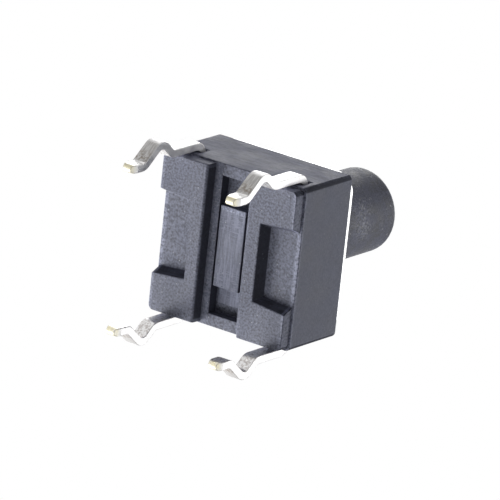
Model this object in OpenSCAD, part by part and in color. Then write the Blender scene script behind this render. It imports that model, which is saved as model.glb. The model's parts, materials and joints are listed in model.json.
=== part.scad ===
// Through-hole tactile push button switch, in millimetres.
// The origin is the centre of the board face, +Z runs up the plunger, the feet rails and legs run along Y.

/* [Body] */
// Side of the square body
body_w = 6; // [5.6:0.1:7]
// Height of the moulded body above the board
body_h = 3.2; // [3:0.05:4]
// Radius of the upright corners of the body
corner_r = 0.2; // [0.05:0.05:0.4]

/* [Underside] */
// Height of the feet rails
rail_h = 0.45; // [0.3:0.05:0.6]
// How far the rails stand in from the sides of the body
rail_inset = 0.07; // [0.02:0.01:0.15]
// Width of the channel between the rails, at the rail faces
channel_w = 1.9; // [1.6:0.1:2.1]
// How far the wall along the channel leans over the rail's height, for the mould
rail_draft = 0.02; // [0:0.01:0.05]
// Radius of the rail edge along the channel
rail_edge_r = 0.12; // [0.05:0.01:0.2]
// Width of the rail that is left between the channel and a side notch
rail_web = 0.55; // [0.4:0.05:0.8]
// Length of the side notch in each rail, at its inner end
notch_l = 2.9; // [2.4:0.1:3.6]
// Angle by which each end of a notch opens towards the side of the body
notch_flare = 5; // [0:1:8]
// How far each notch wall leans over its height
notch_draft = 0.2; // [0.05:0.01:0.25]
// Width of the slot in the channel floor
slot_w = 1.25; // [1:0.05:1.5]
// Length of the slot
slot_l = 5.1; // [4.6:0.1:5.4]
// Depth of the slot below the channel floor
slot_depth = 0.42; // [0.2:0.02:0.5]
// Length of the bar that fills the middle of the slot
bar_l = 3; // [2.4:0.1:3.6]
// Gap on each side of the bar
bar_gap = 0.07; // [0.04:0.01:0.12]

/* [Legs] */
// Spacing of the legs along each side of the body
leg_pitch = 4.5; // [4.2:0.1:4.8]
// Width of a leg
leg_w = 0.55; // [0.4:0.05:0.7]
// Thickness of the sheet that the legs and contacts are stamped from
leg_t = 0.3; // [0.2:0.05:0.35]
// Gap between the side of the body and a leg
leg_gap = 0.05; // [0.02:0.01:0.15]
// Length of a leg below the board face
leg_l = 3.05; // [2.9:0.05:3.6]
// Radius of each bend, at the middle of the sheet
bend_r = 0.4; // [0.3:0.05:0.45]
// How far the locking kink stands out
kink_out = 0.54; // [0.3:0.01:0.6]
// Height above the leg's end at which the kink starts
kink_start = 2.3; // [2.2:0.05:2.5]
// Height of the kink's crest above the leg's end
kink_crest = 1.65; // [1.5:0.05:1.75]
// Height above the leg's end at which the kink ends
kink_end = 0.75; // [0.65:0.05:0.85]
// How far the leg ends stand in from the upper part of the legs
tip_in = 0.2; // [0.05:0.01:0.25]
// Width of a leg's end
tip_w = 0.34; // [0.25:0.01:0.4]
// Length of the taper at a leg's end
tip_taper = 0.3; // [0.2:0.05:0.4]
// Clearance round a leg where it leaves the body
exit_gap = 0.1; // [0.06:0.01:0.15]
// Depth of the recess in the wall round a leg
exit_depth = 0.3; // [0.25:0.05:0.35]

/* [Contacts] */
// Height of the contact face above the board
contact_z = 1.22; // [1.1:0.02:1.5]
// Width of the tongue under the middle of the dome
tongue_w = 0.8; // [0.6:0.05:1]
// Width of each arm under the rim of the dome
arm_w = 0.6; // [0.4:0.05:0.8]
// Distance of each arm from the middle of the switch, along Y
arm_y = 1.2; // [1:0.05:1.4]
// Distance of an arm's end from the middle of the switch, along X
arm_end = 1; // [0.8:0.05:1.2]
// Width of the two long bars of the contact strips
strip_w = 0.45; // [0.4:0.05:0.6]

/* [Snap dome] */
// Diameter of the dome
dome_d = 3.8; // [3.4:0.1:4]
// Thickness of the dome
dome_t = 0.07; // [0.05:0.01:0.09]
// Clearance round the dome
dome_gap = 0.1; // [0.05:0.01:0.2]
// Depth of the seat that centres the dome
dome_seat = 0.55; // [0.5:0.01:0.6]

/* [Plunger] */
// Height of the plunger's end above the board
total_h = 8.5; // [5:0.1:13]
// Diameter of the stem
stem_d = 3.1; // [2.6:0.1:3.6]
// Radius of the edge of the stem's end
stem_edge_r = 0.3; // [0.1:0.05:0.5]
// Diameter of the flange that the cover holds
flange_d = 4.2; // [4:0.05:4.4]
// Thickness of the flange
flange_t = 0.65; // [0.5:0.05:0.75]
// Diameter of the nub that presses the dome
nub_d = 1.3; // [1:0.1:1.6]
// Travel of the plunger, until the dome meets the middle contact
travel = 0.25; // [0.15:0.05:0.3]
// Radial clearance of the flange in the well
flange_gap = 0.12; // [0.05:0.01:0.15]
// Play between the plunger and the parts that stop it
play = 0.02; // [0.01:0.01:0.04]

/* [Cover] */
// Thickness of the cover plate
cover_t = 0.2; // [0.15:0.05:0.3]
// How far the plate stands in from the sides of the body
cover_inset = 0.05; // [0.02:0.01:0.1]
// Radius of the plate's corners
cover_corner_r = 0.7; // [0.5:0.05:0.8]
// Radial clearance of the stem in the plate
stem_gap = 0.12; // [0.08:0.01:0.2]
// Distance of each rivet post from the sides of the body
post_in = 0.7; // [0.65:0.05:0.75]
// Diameter of a rivet post
post_d = 0.62; // [0.5:0.02:0.66]
// Clearance round a post in the plate
post_gap = 0.03; // [0.02:0.01:0.06]
// Diameter of the head of a rivet post
head_d = 0.96; // [0.9:0.02:1]
// Height of the head of a rivet post
head_h = 0.14; // [0.1:0.01:0.2]

/* [Hidden] */
// Faces round a full circle
fine = 60;
// Steps in each rounded bend of a leg
bend_steps = 6;
// Room that a cut runs past the face it opens
past = 0.5;

half_w = body_w / 2;
rail_half = half_w - rail_inset;
channel_half = channel_w / 2;
web_x = channel_half + rail_web;
strip_z = contact_z - leg_t;
leg_x = leg_pitch / 2;
leg_n = half_w + leg_gap + leg_t / 2;
leg_in = half_w - exit_depth - past;
bend_in = bend_r - leg_t / 2;
// How far the inside of the top bend has come down where it leaves the wall
bend_drop = bend_in - sqrt(bend_in ^ 2 - (bend_in - leg_gap) ^ 2);
well_r = flange_d / 2 + flange_gap;
seat_r = dome_d / 2 + dome_gap;
cover_top = body_h + cover_t;
post_xy = half_w - post_in;
cover_half = half_w - cover_inset;
flange_top = body_h - play;
dome_top = contact_z + travel + dome_t;

// A square with its side along X and Y and rounded corners
module round_square(half, r) {
    flat = half - r;
    union() {
        square([2 * half, 2 * flat], center = true);
        square([2 * flat, 2 * half], center = true);
        for (x = [-flat, flat], y = [-flat, flat])
            translate([x, y])
                circle(r = r, $fn = fine);
    }
}

// A shape drawn across the part, with its second axis up, and run along Y
module along_y(length) {
    translate([0, length / 2, 0])
        rotate([90, 0, 0])
            linear_extrude(length)
                children();
}

// A shape drawn with its first axis along Y and its second up, and run along X
module along_x(length) {
    translate([-length / 2, 0, 0])
        rotate([90, 0, 90])
            linear_extrude(length)
                children();
}

// Section of the right-hand rail, with its edge along the channel rounded to meet the leaning wall
module rail_section() {
    r = rail_edge_r;
    lean = rail_draft / rail_h;
    slope = sqrt(1 + pow(lean, 2));
    middle = [channel_half + r * (slope - lean), r];
    touch = middle - r / slope * [1, lean];
    union() {
        difference() {
            polygon([
                [channel_half, 0],
                [body_w, 0],
                [body_w, rail_h],
                [channel_half - rail_draft, rail_h]
            ]);
            polygon([
                [0, -past],
                [middle.x, -past],
                middle,
                touch,
                [0, touch.y]
            ]);
        }
        translate(middle)
            circle(r = r, $fn = fine);
    }
}

// Everything on the near side of the notch's wall at +Y, which leans and opens outwards
module notch_side() {
    lean = notch_draft / rail_h;
    translate([web_x, notch_l / 2, 0])
        rotate([0, 0, notch_flare])
            along_x(2 * body_w)
                polygon([
                    [lean * past, -past],
                    [-lean * (rail_h + past), rail_h + past],
                    [-body_w, rail_h + past],
                    [-body_w, -past]
                ]);
}

// Side notch of the right-hand rail
module notch() {
    intersection() {
        along_y(body_w)
            polygon([
                [web_x, 0],
                [web_x + notch_draft, rail_h],
                [half_w + past, rail_h],
                [half_w + past, -past],
                [web_x - notch_draft * past / rail_h, -past]
            ]);
        notch_side();
        mirror([0, 1, 0])
            notch_side();
    }
}

// Both feet rails, notched at the sides
module rails() {
    for (side = [0, 1])
        mirror([side, 0, 0])
            difference() {
                intersection() {
                    along_y(body_w)
                        rail_section();
                    linear_extrude(body_h)
                        round_square(rail_half, corner_r);
                }
                notch();
            }
}

// Slot in the channel floor, with the bar that fills its middle
module slot_pockets() {
    bar_w = slot_w - 2 * bar_gap;
    translate([0, 0, rail_h - past])
        linear_extrude(slot_depth + past)
            difference() {
                square([slot_w, slot_l], center = true);
                square([bar_w, bar_l], center = true);
            }
}

// Place for each of the four legs: children are drawn for the leg at +X, +Y
module each_leg() {
    for (x = [0, 1], y = [0, 1])
        mirror([x, 0, 0])
            mirror([0, y, 0])
                children();
}

// Recess in the side wall that a leg bends down through
module exit_recess() {
    recess_w = leg_w + 2 * exit_gap;
    translate([leg_x - recess_w / 2, half_w - exit_depth, strip_z - bend_drop - exit_gap])
        cube([recess_w, exit_depth + past, leg_t + bend_drop + 2 * exit_gap]);
}

// Well for the plunger's flange, with the shallow seat of the dome under it
module well() {
    translate([0, 0, contact_z])
        cylinder(r = seat_r, h = body_h, $fn = fine);
    translate([0, 0, contact_z + dome_seat])
        cylinder(r = well_r, h = body_h, $fn = fine);
}

// Post that stands through the cover plate, with its head melted over it
module rivet_post() {
    head_r = head_d / 2;
    cap = [for (i = [0:bend_steps])
        let (a = 90 * i / bend_steps)
        [head_r * cos(a), cover_top + head_h * sin(a)]
    ];
    rotate_extrude($fn = fine)
        polygon(concat([[0, body_h - past], [post_d / 2, body_h - past], [post_d / 2, cover_top]], cap));
}

module housing() {
    color([0.13, 0.135, 0.15]) {
        difference() {
            union() {
                translate([0, 0, rail_h])
                    linear_extrude(body_h - rail_h)
                        round_square(half_w, corner_r);
                rails();
            }
            slot_pockets();
            well();
            each_leg()
                exit_recess();
            strip_center_shape();
            strip_rim_shape();
        }
        for (x = [-post_xy, post_xy], y = [-post_xy, post_xy])
            translate([x, y, 0])
                rivet_post();
    }
}

// Heading of the line from one point to the next, in degrees
function heading(a, b) = atan2(b.y - a.y, b.x - a.x);

// Points of one rounded bend of a leg's middle line, each with its heading
function bend(corner, h0, h1) =
    let (
        turn = h1 - h0,
        way = sign(turn),
        start = corner - bend_r * tan(abs(turn) / 2) * [cos(h0), sin(h0)],
        centre = start + way * bend_r * [-sin(h0), cos(h0)]
    )
    [for (i = [0:bend_steps])
        let (h = h0 + turn * i / bend_steps)
        [centre + way * bend_r * [sin(h), -cos(h)], h]
    ];

// Corners of a leg's middle line: how far out from the axis, and how high
leg_corners = [
    [leg_in, contact_z - leg_t / 2],
    [leg_n, contact_z - leg_t / 2],
    [leg_n, kink_start - leg_l],
    [leg_n + kink_out, kink_crest - leg_l],
    [leg_n - tip_in, kink_end - leg_l],
    [leg_n - tip_in, leg_t / 2 - leg_l]
];

// The middle line with its corners rounded
leg_line = concat(
    [[leg_corners[0], 0]],
    [for (i = [1:4])
        each bend(
            leg_corners[i],
            heading(leg_corners[i - 1], leg_corners[i]),
            heading(leg_corners[i], leg_corners[i + 1])
        )
    ],
    [[leg_corners[5], -90]]
);

// One side of the sheet along the middle line
function leg_side(way) =
    [for (p = leg_line) p[0] + way * leg_t / 2 * [-sin(p[1]), cos(p[1])]];

// Round end of the sheet
leg_end =
    [for (i = [1:bend_steps * 2 - 1])
        let (a = 180 * i / (bend_steps * 2))
        leg_corners[5] + leg_t / 2 * [cos(a), -sin(a)]
    ];

function backwards(list) = [for (i = [len(list) - 1:-1:0]) list[i]];

// Front view of a leg, which narrows at its end
module leg_front() {
    half = leg_w / 2;
    tip = tip_w / 2;
    polygon([
        [-half, contact_z],
        [half, contact_z],
        [half, tip_taper - leg_l],
        [tip, -leg_l],
        [-tip, -leg_l],
        [-half, tip_taper - leg_l]
    ]);
}

// One leg, at +X and +Y
module leg() {
    intersection() {
        translate([leg_x, 0, 0])
            along_x(leg_w)
                polygon(concat(leg_side(1), leg_end, backwards(leg_side(-1))));
        translate([leg_x, half_w, 0])
            along_y(2 * body_w)
                leg_front();
    }
}

// Long bar that joins the two legs of one strip, on the +X side
module strip_bar() {
    translate([leg_x + leg_w / 2 - strip_w, exit_depth - half_w])
        square([strip_w, body_w - 2 * exit_depth]);
}

module two_legs() {
    for (y = [0, 1])
        mirror([0, y, 0])
            leg();
}

// Strip with the middle contact
module strip_center_shape() {
    two_legs();
    translate([0, 0, strip_z])
        linear_extrude(leg_t) {
            strip_bar();
            translate([0, -tongue_w / 2])
                square([leg_x, tongue_w]);
            circle(d = tongue_w, $fn = fine);
        }
}

module contact_strip_center() {
    color([0.82, 0.81, 0.78])
        strip_center_shape();
}

// Strip with two arms that carry the rim of the dome
module strip_rim_shape() {
    mirror([1, 0, 0])
        two_legs();
    translate([0, 0, strip_z])
        linear_extrude(leg_t) {
            mirror([1, 0])
                strip_bar();
            for (y = [-arm_y, arm_y])
                translate([-leg_x, y - arm_w / 2])
                    square([leg_x - arm_end, arm_w]);
        }
}

module contact_strip_rim() {
    color([0.82, 0.81, 0.78])
        strip_rim_shape();
}

// Thin dome that snaps through when it is pressed
module snap_dome() {
    rim_r = dome_d / 2;
    ball_r = (pow(rim_r, 2) + pow(travel, 2)) / (2 * travel);
    half_angle = asin(rim_r / ball_r);
    inside = [for (i = [0:2 * bend_steps])
        let (a = half_angle * i / (2 * bend_steps))
        [ball_r * sin(a), contact_z + travel - ball_r + ball_r * cos(a)]
    ];
    outside = [for (p = backwards(inside)) p + [0, dome_t]];
    color([0.75, 0.75, 0.74])
        rotate_extrude($fn = fine)
            polygon(concat(inside, outside));
}

// Section of the plunger to one side of its axis
module plunger_section() {
    stem_r = stem_d / 2;
    flange_r = flange_d / 2;
    nub_r = nub_d / 2;
    edge = stem_edge_r;
    corner = [for (i = [0:2 * bend_steps])
        let (a = 90 * i / (2 * bend_steps))
        [stem_r - edge + edge * cos(a), total_h - edge + edge * sin(a)]
    ];
    polygon(concat(
        [
            [0, dome_top + play],
            [nub_r, dome_top + play],
            [nub_r, flange_top - flange_t],
            [flange_r, flange_top - flange_t],
            [flange_r, flange_top],
            [stem_r, flange_top]
        ],
        corner,
        [[0, total_h]]
    ));
}

module plunger() {
    color([0.12, 0.12, 0.13])
        rotate_extrude($fn = fine)
            plunger_section();
}

module cover_plate() {
    color([0.8, 0.8, 0.8])
        translate([0, 0, body_h])
            linear_extrude(cover_t)
                difference() {
                    round_square(cover_half, cover_corner_r);
                    circle(r = stem_d / 2 + stem_gap, $fn = fine);
                    for (x = [-post_xy, post_xy], y = [-post_xy, post_xy])
                        translate([x, y])
                            circle(r = post_d / 2 + post_gap, $fn = fine);
                }
}

housing();
contact_strip_center();
contact_strip_rim();
snap_dome();
plunger();
cover_plate();
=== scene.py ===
"""Looks of a small through-hole push button switch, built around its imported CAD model."""
import functools
import json
import math

import bmesh
import bpy
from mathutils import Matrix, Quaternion, Vector

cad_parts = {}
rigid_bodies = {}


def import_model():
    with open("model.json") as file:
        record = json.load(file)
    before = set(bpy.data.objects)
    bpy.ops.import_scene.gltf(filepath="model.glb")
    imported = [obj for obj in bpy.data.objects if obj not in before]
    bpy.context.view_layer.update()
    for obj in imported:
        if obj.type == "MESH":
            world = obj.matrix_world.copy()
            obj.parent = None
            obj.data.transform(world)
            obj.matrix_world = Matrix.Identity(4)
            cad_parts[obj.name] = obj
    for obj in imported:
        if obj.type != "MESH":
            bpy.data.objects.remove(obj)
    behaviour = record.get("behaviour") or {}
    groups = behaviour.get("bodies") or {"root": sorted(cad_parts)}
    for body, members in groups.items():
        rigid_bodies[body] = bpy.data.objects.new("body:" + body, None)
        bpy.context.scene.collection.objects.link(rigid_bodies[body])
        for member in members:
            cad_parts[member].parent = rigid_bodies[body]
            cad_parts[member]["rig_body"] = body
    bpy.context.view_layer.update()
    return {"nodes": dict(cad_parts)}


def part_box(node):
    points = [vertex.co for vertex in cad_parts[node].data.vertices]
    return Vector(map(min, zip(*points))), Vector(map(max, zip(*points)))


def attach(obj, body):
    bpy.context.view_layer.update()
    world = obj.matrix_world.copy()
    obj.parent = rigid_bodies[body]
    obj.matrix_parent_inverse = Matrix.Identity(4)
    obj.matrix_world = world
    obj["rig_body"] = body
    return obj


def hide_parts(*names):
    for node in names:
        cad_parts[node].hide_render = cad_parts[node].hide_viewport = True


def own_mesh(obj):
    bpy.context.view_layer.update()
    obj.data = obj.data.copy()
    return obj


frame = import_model()

MM = 0.001

# The camera, fitted to the corners of the switch in a photograph of 500 by 500 pixels
SENSOR_MM = 36
LENS_MM = 505.36
CAMERA_AZIMUTH = 61.22
CAMERA_ELEVATION = -51.407
CAMERA_ROLL = 72.924
CAMERA_DISTANCE = 246.222 * MM
CAMERA_TARGET = Vector((0.7823, -0.1505, 0.5923)) * MM

# Rounding of the visible pieces' edges
EDGE_RADIUS = 0.03 * MM
EDGE_SEGMENTS = 3
WELD = 0.0005 * MM
FLAT_ANGLE = math.radians(1)
SHARP_ANGLE = math.radians(26)
CREASE_ANGLE = math.radians(45)

# Places on the housing that its colours follow, in millimetres, where the rails' faces are at height 0
HOUSING_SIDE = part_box("housing")[1].x / MM
BAR_SIDE = 0.56
BAR_FOOT = -1.51
BAR_MIDDLE = 0.15
LINES_END = 2.2
BEHIND_RAILS = 0.3
BEHIND_CHANNEL = 0.7
CHANNEL_STRIP = (0.65, 1.2)

# The scuffed patch on the plunger's stem: its heights in millimetres, and the way it faces
SCUFF_HEIGHTS = (6.0, 6.75)
SCUFF_TOWARD = (0.97, -0.24)

# Heights above the legs' ends, in millimetres
BROWN_SPOT_HEIGHTS = (0.7, 1.03)
BARE_HEIGHT = 0.17

# Surroundings
LEG_END_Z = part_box("contact_strip_center")[0].z
FLOOR_RADIUS = 60 * MM
FLOOR_FADE_START = 0.3
FLOOR_GLOW = 0.3
LIGHT_DISTANCE = 100 * MM
LIGHT_SIZE = 50 * MM
AMBIENT = (0.05, 0.05, 0.055)
WHITE = (1.0, 1.0, 1.0)


def stand_in(node, name, mesh):
    """A piece with its own mesh that stands for a CAD node and rides where that node does."""
    piece = bpy.data.objects.new(name, mesh)
    bpy.context.scene.collection.objects.link(piece)
    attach(piece, frame["nodes"][node]["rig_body"])
    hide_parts(node)
    return piece


def rounded(node, name, materials, top=math.inf):
    """A copy of a CAD node, with its sharp edges below top rounded. A second material goes on those edges."""
    work = bmesh.new()
    work.from_mesh(frame["nodes"][node].data)
    bmesh.ops.remove_doubles(work, verts=work.verts, dist=WELD)
    bmesh.ops.dissolve_limit(work, angle_limit=FLAT_ANGLE, verts=work.verts, edges=work.edges)
    sharp = [
        edge for edge in work.edges
        if len(edge.link_faces) == 2
        and edge.calc_face_angle() > SHARP_ANGLE
        and max(corner.co.z for corner in edge.verts) < top
    ]
    for face in work.faces:
        curved = any(FLAT_ANGLE < edge.calc_face_angle(0) <= SHARP_ANGLE for edge in face.edges)
        face.smooth = curved and len(face.verts) <= 4

    # The bevel marks its own faces with material 1, so that they can be told from the others
    bmesh.ops.bevel(
        work, geom=sharp, offset=EDGE_RADIUS, segments=EDGE_SEGMENTS,
        profile=0.5, affect="EDGES", clamp_overlap=False, material=1,
    )
    for face in work.faces:
        face.smooth = face.smooth or face.material_index == 1
        face.material_index = min(face.material_index, len(materials) - 1)
    for edge in work.edges:
        edge.smooth = edge.calc_face_angle(0) <= CREASE_ANGLE
    bmesh.ops.triangulate(work, faces=[face for face in work.faces if len(face.verts) > 4])
    mesh = bpy.data.meshes.new(name)
    work.to_mesh(mesh)
    work.free()
    for material in materials:
        mesh.materials.append(material)
    piece = stand_in(node, name, mesh)
    normals = piece.modifiers.new("normals", "WEIGHTED_NORMAL")
    normals.keep_sharp = True
    normals.weight = 100


def make_dome():
    """The dome's own mesh, copied from its CAD node, with spring steel on it."""
    mesh = frame["nodes"]["snap_dome"].data.copy()
    mesh.materials.clear()
    mesh.materials.append(dome_steel())
    dome = stand_in("snap_dome", "snap_dome_sheet", mesh)
    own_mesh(dome)


class Graph:
    """Short names for making and joining the nodes of one material."""

    def __init__(self, name):
        self.material = bpy.data.materials.new(name)
        self.material.use_nodes = True
        self.tree = self.material.node_tree
        self.shader = self.tree.nodes["Principled BSDF"]
        coordinates = self.add("TexCoord")
        self.place = coordinates.outputs["Object"]
        self.x, self.y, self.z = self.split(self.place)
        self.nx, self.ny, self.nz = self.split(coordinates.outputs["Normal"])

    def add(self, kind, **settings):
        node = self.tree.nodes.new("ShaderNode" + kind)
        for key, value in settings.items():
            setattr(node, key, value)
        return node

    def split(self, vector):
        node = self.add("SeparateXYZ")
        self.put(vector, node.inputs[0])
        return node.outputs[0], node.outputs[1], node.outputs[2]

    def put(self, value, socket):
        """A number, a colour or another node's output goes into a socket."""
        if isinstance(value, bpy.types.NodeSocket):
            self.tree.links.new(value, socket)
        elif isinstance(value, tuple):
            socket.default_value = value if socket.type == "VECTOR" else (*value, 1)
        else:
            socket.default_value = value

    def math(self, operation, a, b=0.0):
        node = self.add("Math", operation=operation)
        self.put(a, node.inputs[0])
        self.put(b, node.inputs[1])
        return node.outputs[0]

    def total(self, *terms):
        return functools.reduce(lambda a, b: self.math("ADD", a, b), terms)

    def product(self, *factors):
        return functools.reduce(lambda a, b: self.math("MULTIPLY", a, b), factors)

    def larger(self, a, b):
        return self.math("MAXIMUM", a, b)

    def absolute(self, value):
        """A value without its sign."""
        return self.math("ABSOLUTE", value)

    def swing(self, noise, *factors, middle=0.5):
        """Noise that swings to both sides of 0, as strongly as the factors say."""
        return self.product(self.math("SUBTRACT", noise, middle), *factors)

    def blend(self, share, a, b):
        """The colour b over the colour a."""
        node = self.add("Mix", data_type="RGBA")
        self.put(share, node.inputs["Factor"])
        self.put(a, node.inputs[6])
        self.put(b, node.inputs[7])
        return node.outputs[2]

    def tinted(self, color, factor):
        """A colour made lighter or darker by a factor."""
        node = self.add("VectorMath", operation="SCALE")
        self.put(color, node.inputs[0])
        self.put(factor, node.inputs["Scale"])
        return node.outputs[0]

    def ramp(self, value, low, high, to_low=0.0, to_high=1.0):
        """A soft step that goes from to_low to to_high as value goes from low to high."""
        node = self.add("MapRange", interpolation_type="SMOOTHSTEP")
        for socket, number in zip(node.inputs, (value, low, high, to_low, to_high)):
            self.put(number, socket)
        return node.outputs[0]

    def between(self, mask, off, on):
        """The number off where a mask is 0, and on where it is 1."""
        return self.ramp(mask, 0.0, 1.0, off, on)

    def step(self, place, at_mm, soft_mm, before=0.0, after=1.0):
        """A soft step, soft_mm long, where a place in the object passes at_mm."""
        half = soft_mm / 2
        return self.ramp(place, (at_mm - half) * MM, (at_mm + half) * MM, before, after)

    def window(self, place, low_mm, high_mm, soft_mm):
        """1 where a place in the object lies between two bounds, with soft edges."""
        return self.product(self.step(place, low_mm, soft_mm), self.step(place, high_mm, soft_mm, 1.0, 0.0))

    def noise(self, grain_mm, detail, stretch=(1, 1, 1)):
        """Cloudy noise around 0.5, with blobs about grain_mm across, longer along an axis by its stretch."""
        scaled = self.add("Mapping")
        self.put(self.place, scaled.inputs["Vector"])
        scaled.inputs["Scale"].default_value = [1 / factor for factor in stretch]
        node = self.add("TexNoise")
        self.put(scaled.outputs[0], node.inputs["Vector"])
        node.inputs["Scale"].default_value = 1 / (grain_mm * MM)
        node.inputs["Detail"].default_value = detail
        return node.outputs["Fac"]

    def specks(self, spacing_mm, size, share):
        """Small round specks, as a mask. Their size is a part of their spacing. Share is how many there are."""
        cells = self.add("TexVoronoi", feature="F1")
        self.put(self.place, cells.inputs["Vector"])
        cells.inputs["Scale"].default_value = 1 / (spacing_mm * MM)
        dots = self.ramp(cells.outputs["Distance"], size * 0.4, size, 1.0, 0.0)
        pick = self.add("SeparateColor")
        self.put(cells.outputs["Color"], pick.inputs[0])
        chosen = self.math("LESS_THAN", pick.outputs[0], share)
        return self.product(dots, pick.outputs[1], chosen)

    def bump(self, height, depth_mm):
        node = self.add("Bump")
        node.inputs["Distance"].default_value = depth_mm * MM
        self.put(height, node.inputs["Height"])
        return node.outputs[0]

    def finish(self, color, rough, normal, metal=0.0, specular=0.5):
        self.put(color, self.shader.inputs["Base Color"])
        self.put(rough, self.shader.inputs["Roughness"])
        self.put(normal, self.shader.inputs["Normal"])
        self.put(metal, self.shader.inputs["Metallic"])
        self.put(specular, self.shader.inputs["Specular IOR Level"])
        return self.material


def slot_finish(g, grain):
    """Where the slot is, as a mask, and the lines along and across the bar and the floor in it."""
    slot = g.product(
        g.window(g.x, -BAR_SIDE, BAR_SIDE, 0.05),
        g.window(g.y, BAR_FOOT, LINES_END, 0.05),
        g.step(g.z, BEHIND_RAILS, 0.06),
    )
    ends = g.step(g.absolute(g.math("SUBTRACT", g.y, BAR_MIDDLE * MM)), 0.6, 0.8)
    along = g.ramp(g.noise(0.055, 2, (1, 14, 1)), 0.4, 0.62)
    across = g.ramp(g.noise(0.045, 2, (10, 1, 1)), 0.44, 0.64)
    lines = g.larger(along, g.product(across, ends))
    pale_foot = g.window(g.y, BAR_FOOT + 0.01, BAR_FOOT + 0.17, 0.1)
    lines = g.total(
        g.product(lines, g.between(ends, 0.45, 0.7)),
        0.05,
        g.product(pale_foot, g.ramp(grain, 0.35, 0.6, 0.2, 1.2)),
    )
    return slot, lines


def housing_plastic():
    """Matte black plastic with a moulded grain, streaked and scratched, with painted shade in its recesses and
    corners and painted light here and there.
    """
    g = Graph("housing_plastic")
    plain_color = (0.150, 0.159, 0.208)
    # Painted light: the sides with the legs get a lighter colour
    lit_leg_side_color = (0.158, 0.167, 0.232)
    speck_color = (0.46, 0.48, 0.54)
    grain = g.noise(0.08, 4)
    fine = g.noise(0.02, 2)
    cloud = g.noise(0.8, 2)
    streak = g.noise(0.16, 4, (3.5, 1, 1))
    under = g.ramp(g.nz, -0.4, -0.8)
    streaked_lit_leg_side = g.ramp(g.absolute(g.ny), 0.6, 0.9)
    slot, lines = slot_finish(g, grain)

    # Painted light: the channel's floor is painted paler next to the slot, where the rails cast shade, and the
    # corners next to the rails are painted paler over the shade in them
    channel_floor = g.window(g.z, BEHIND_RAILS, 0.6, 0.05)
    painted_light_strip = g.product(g.window(g.absolute(g.x), *CHANNEL_STRIP, 0.05), channel_floor, under)
    painted_light_corners = g.product(g.step(g.absolute(g.x), HOUSING_SIDE - 0.175, 0.15), g.step(g.z, 0.54, 0.12, 1.0, 0.0))

    # Grain is strongest on the underside, and streaks are on the sides with the legs. The streaks' middle is
    # set low, so those sides are also painted lighter: painted light
    grainy = g.product(g.between(under, 0.9, 2.8), g.between(slot, 1.0, 0.3))
    shade = g.total(
        1.0,
        g.swing(grain, grainy),
        g.swing(streak, streaked_lit_leg_side, 2.3, middle=0.44),
        g.swing(cloud, g.between(under, 1.0, 0.4)),
        g.product(slot, lines),
        # Painted light: the pocket floors, the channel strip and the corners next to the rails are painted
        # paler
        g.product(slot, g.step(g.z, BEHIND_CHANNEL, 0.2), 0.5),
        g.product(painted_light_strip, 0.3),
        g.product(painted_light_corners, g.ramp(grain, 0.35, 0.6, 0.3, 1.0)),
    )

    # Painted shade: the walls of the recesses and the upright corners are painted darker, where shade falls on
    # them, and they are also duller than the rest
    inside = HOUSING_SIDE - 0.2
    recess_wall_shade = g.product(
        g.ramp(g.absolute(g.nz), 0.75, 0.35),
        g.window(g.x, -inside, inside, 0.1),
        g.window(g.y, -inside, inside, 0.1),
    )
    # Painted shade along the upright corners
    corner = g.product(g.ramp(g.absolute(g.nx), 0.15, 0.35), g.ramp(g.absolute(g.ny), 0.15, 0.35))
    painted_shade = g.larger(recess_wall_shade, corner)
    shade = g.product(shade, g.between(painted_shade, 1.0, 0.42))

    color = g.tinted(g.blend(streaked_lit_leg_side, plain_color, lit_leg_side_color), shade)
    color = g.blend(g.product(g.specks(0.1, 0.32, 0.12), g.between(under, 0.3, 1.0)), color, speck_color)
    rough = g.total(g.ramp(cloud, 0.3, 0.7, 0.56, 0.66), g.swing(fine, 0.1), g.product(painted_shade, 0.3))
    height = g.total(grain, g.product(slot, lines, 1.5))
    return g.finish(color, rough, g.bump(height, 0.006), specular=0.3)


def plunger_plastic():
    """Matte black plastic, mottled, with sparse specks and a scuffed patch halfway along one side."""
    g = Graph("plunger_plastic")
    plain_color = (0.082, 0.087, 0.119)
    speck_color = (0.50, 0.51, 0.55)
    grain = g.noise(0.06, 3)
    cloud = g.noise(0.5, 4)
    facing = g.total(g.product(g.nx, SCUFF_TOWARD[0]), g.product(g.ny, SCUFF_TOWARD[1]))
    scuff = g.product(g.ramp(facing, 0.8, 0.98), g.window(g.z, *SCUFF_HEIGHTS, 0.8))
    shade = g.total(
        g.ramp(cloud, 0.38, 0.62, 0.72, 1.34),
        g.swing(grain, 2.8),
        g.product(scuff, g.ramp(grain, 0.38, 0.6, 0.0, 1.2)),
    )
    sparse = g.product(g.specks(0.11, 0.4, 0.3), g.ramp(g.noise(0.6, 1), 0.42, 0.58, 0.2, 1.0))
    dense = g.product(g.specks(0.1, 0.6, 0.8), scuff)
    color = g.blend(g.larger(sparse, dense), g.tinted(plain_color, shade), speck_color)
    rough = g.ramp(cloud, 0.3, 0.7, 0.5, 0.62)
    return g.finish(color, rough, g.bump(grain, 0.006), specular=0.3)


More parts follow.
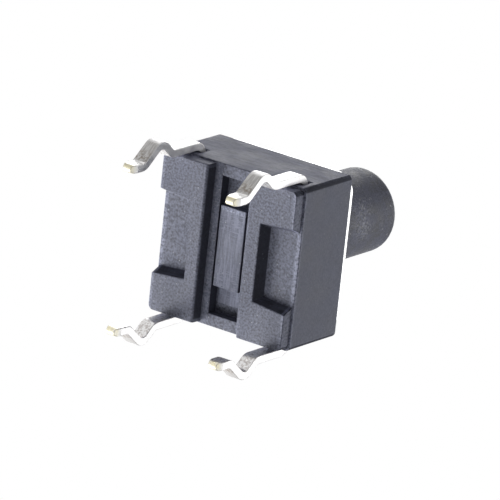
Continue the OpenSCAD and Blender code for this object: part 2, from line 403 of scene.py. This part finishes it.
def plated_brass(name, worn):
    """Dull bright plating. Where it is worn, as on sheared edges, it is greyer."""
    g = Graph(name)
    bright = (0.96, 0.955, 0.95)
    cloudy = (0.86, 0.845, 0.83)
    # Painted reflection grey for the sloped faces
    painted_reflection_grey = (0.56, 0.545, 0.535)
    worn_grey = (0.42, 0.41, 0.405)
    low_spot_brown = (0.27, 0.21, 0.15)
    blotch_brown = (0.40, 0.345, 0.32)
    bare_brass = (0.99, 0.91, 0.60)
    drawn = g.noise(0.05, 3, (1, 7, 7))
    cloud = g.noise(0.14, 3)
    spots = g.noise(0.09, 4)
    outward = g.product(g.ny, g.math("SIGN", g.y))
    height = g.math("SUBTRACT", g.z, LEG_END_Z)
    color = g.blend(g.ramp(cloud, 0.45, 0.75), bright, cloudy)

    # Painted reflection: the faces that slope back under the kinks are painted grey for the dark reflection on
    # them, and they have brown spots low down
    sloped = g.product(g.ramp(outward, 0.35, 0.6), g.ramp(g.nz, -0.3, -0.5))
    painted_reflection = g.product(sloped, g.ramp(drawn, 0.35, 0.6, 0.6, 1.0))
    low_brown_spots = g.product(sloped, g.window(height, *BROWN_SPOT_HEIGHTS, 0.3), g.ramp(spots, 0.42, 0.62, 0.0, 0.7))
    color = g.blend(low_brown_spots, g.blend(painted_reflection, color, painted_reflection_grey), low_spot_brown)

    # The faces towards the middle are blotched brown
    inner = g.ramp(outward, -0.3, -0.6)
    color = g.blend(g.product(inner, g.ramp(spots, 0.45, 0.62, 0.0, 0.65)), color, blotch_brown)

    # Bare brass at the cut ends
    bare = g.product(g.step(height, BARE_HEIGHT, 0.26, 0.8, 0.0), g.ramp(cloud, 0.3, 0.6, 0.5, 1.0))
    color = g.blend(worn, g.blend(bare, color, bare_brass), worn_grey)
    rough = g.total(g.ramp(drawn, 0.3, 0.7, 0.28, 0.42), g.product(painted_reflection, 0.2))
    return g.finish(color, rough, g.bump(g.total(drawn, spots), 0.002), metal=g.between(inner, 0.5, 0.75))


def cover_steel():
    """Steel brushed along X."""
    g = Graph("cover_steel")
    brushed = g.noise(0.04, 3, (12, 1, 1))
    color = g.blend(brushed, (0.72, 0.72, 0.72), (0.82, 0.82, 0.82))
    rough = g.total(g.ramp(brushed, 0.3, 0.7, 0.26, 0.38), g.product(g.noise(0.8, 2), 0.08))
    return g.finish(color, rough, g.bump(brushed, 0.0015), metal=1.0)


def dome_steel():
    """Spring steel rolled along Y."""
    g = Graph("dome_steel")
    rolled = g.noise(0.05, 2, (1, 10, 1))
    color = g.blend(rolled, (0.68, 0.68, 0.67), (0.78, 0.78, 0.77))
    return g.finish(color, g.ramp(rolled, 0.3, 0.7, 0.24, 0.34), g.bump(rolled, 0.001), metal=1.0)


def floor_paint():
    """Pale and matte from above, fading out to the sides, and not there from below."""
    g = Graph("floor_paint")
    from_middle = g.math("SQRT", g.total(g.product(g.x, g.x), g.product(g.y, g.y)))
    faded = g.ramp(from_middle, FLOOR_RADIUS * FLOOR_FADE_START, FLOOR_RADIUS)
    gone = g.larger(faded, g.add("NewGeometry").outputs["Backfacing"])
    soft = g.noise(4, 2)
    g.finish(g.blend(soft, (0.80, 0.80, 0.80), (0.84, 0.84, 0.84)), 0.8, g.bump(soft, 0.01), specular=0.2)
    g.put(WHITE, g.shader.inputs["Emission Color"])
    to_camera = g.add("LightPath").outputs["Is Camera Ray"]
    g.put(g.product(to_camera, FLOOR_GLOW), g.shader.inputs["Emission Strength"])
    mix = g.add("MixShader")
    g.put(gone, mix.inputs[0])
    g.put(g.shader.outputs[0], mix.inputs[1])
    g.put(g.add("BsdfTransparent").outputs[0], mix.inputs[2])
    g.put(mix.outputs[0], g.tree.nodes["Material Output"].inputs["Surface"])
    return g.material


def make_floor():
    work = bmesh.new()
    bmesh.ops.create_circle(work, cap_ends=True, segments=64, radius=FLOOR_RADIUS)
    mesh = bpy.data.meshes.new("floor")
    work.to_mesh(mesh)
    work.free()
    floor = bpy.data.objects.new("floor", mesh)
    floor.location.z = LEG_END_Z
    floor.visible_shadow = False
    floor.visible_diffuse = False
    floor.visible_glossy = False
    floor.data.materials.append(floor_paint())
    bpy.context.scene.collection.objects.link(floor)


def make_camera():
    azimuth = math.radians(CAMERA_AZIMUTH)
    elevation = math.radians(CAMERA_ELEVATION)
    level = math.cos(elevation)
    back = Vector((math.sin(azimuth) * level, -math.cos(azimuth) * level, math.sin(elevation)))
    data = bpy.data.cameras.new("camera")
    data.sensor_width = SENSOR_MM
    data.lens = LENS_MM
    data.clip_start = CAMERA_DISTANCE / 10
    data.clip_end = CAMERA_DISTANCE * 10
    camera = bpy.data.objects.new("camera", data)
    bpy.context.scene.collection.objects.link(camera)
    camera.rotation_mode = "QUATERNION"
    roll = Quaternion((0, 0, 1), math.radians(CAMERA_ROLL))
    camera.rotation_quaternion = (-back).to_track_quat("-Z", "Y") @ roll
    camera.location = CAMERA_TARGET + back * CAMERA_DISTANCE
    bpy.context.scene.camera = camera


def make_light(name, toward, power):
    """A round soft light that lies in the direction toward and shines at the origin."""
    toward = Vector(toward).normalized()
    data = bpy.data.lights.new(name, "AREA")
    data.shape = "DISK"
    data.size = LIGHT_SIZE
    data.energy = power
    light = bpy.data.objects.new(name, data)
    light.location = toward * LIGHT_DISTANCE
    light.rotation_mode = "QUATERNION"
    light.rotation_quaternion = (-toward).to_track_quat("-Z", "Y")
    bpy.context.scene.collection.objects.link(light)


def make_world():
    """Dim light from all around, and plain white wherever the camera or a mirror looks past the object."""
    world = bpy.data.worlds.new("world")
    bpy.context.scene.world = world
    world.use_nodes = True
    tree = world.node_tree
    tree.nodes.clear()
    link = tree.links.new
    path = tree.nodes.new("ShaderNodeLightPath")
    seen = path.outputs["Is Camera Ray"]
    for ray in ("Is Glossy Ray", "Is Transmission Ray"):
        either = tree.nodes.new("ShaderNodeMath")
        either.operation = "MAXIMUM"
        link(seen, either.inputs[0])
        link(path.outputs[ray], either.inputs[1])
        seen = either.outputs[0]
    mix = tree.nodes.new("ShaderNodeMixShader")
    link(seen, mix.inputs[0])
    for color, socket in zip((AMBIENT, WHITE), mix.inputs[1:]):
        background = tree.nodes.new("ShaderNodeBackground")
        background.inputs["Color"].default_value = (*color, 1)
        link(background.outputs[0], socket)
    out = tree.nodes.new("ShaderNodeOutputWorld")
    link(mix.outputs[0], out.inputs["Surface"])


bpy.context.scene.view_settings.view_transform = "Standard"
make_camera()

# The rivet posts stay sharp above the cover's underside, where they pass through the plate
cover_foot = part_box("cover_plate")[0].z + WELD
rounded("housing", "housing_shell", [housing_plastic()], top=cover_foot)
plating = [plated_brass("plated_brass", 0), plated_brass("plated_brass_edge", 0.45)]
rounded("contact_strip_center", "contact_strip_center_sheet", plating)
rounded("contact_strip_rim", "contact_strip_rim_sheet", plating)
rounded("plunger", "plunger_body", [plunger_plastic()])
rounded("cover_plate", "cover_plate_sheet", [cover_steel()])
make_dome()

make_floor()
make_world()
make_light("key_low", (-0.69, 0.50, -0.53), 0.098)
make_light("fill_low", (-0.16, 0.50, -0.85), 0.032)
make_light("top_right", (0.53, 0.00, 0.85), 0.026)
make_light("top_back", (0.69, 0.50, 0.53), 0.020)
make_light("top_left", (-0.43, -0.31, 0.85), 0.024)
make_light("front_left", (-0.26, -0.81, 0.53), 0.010)
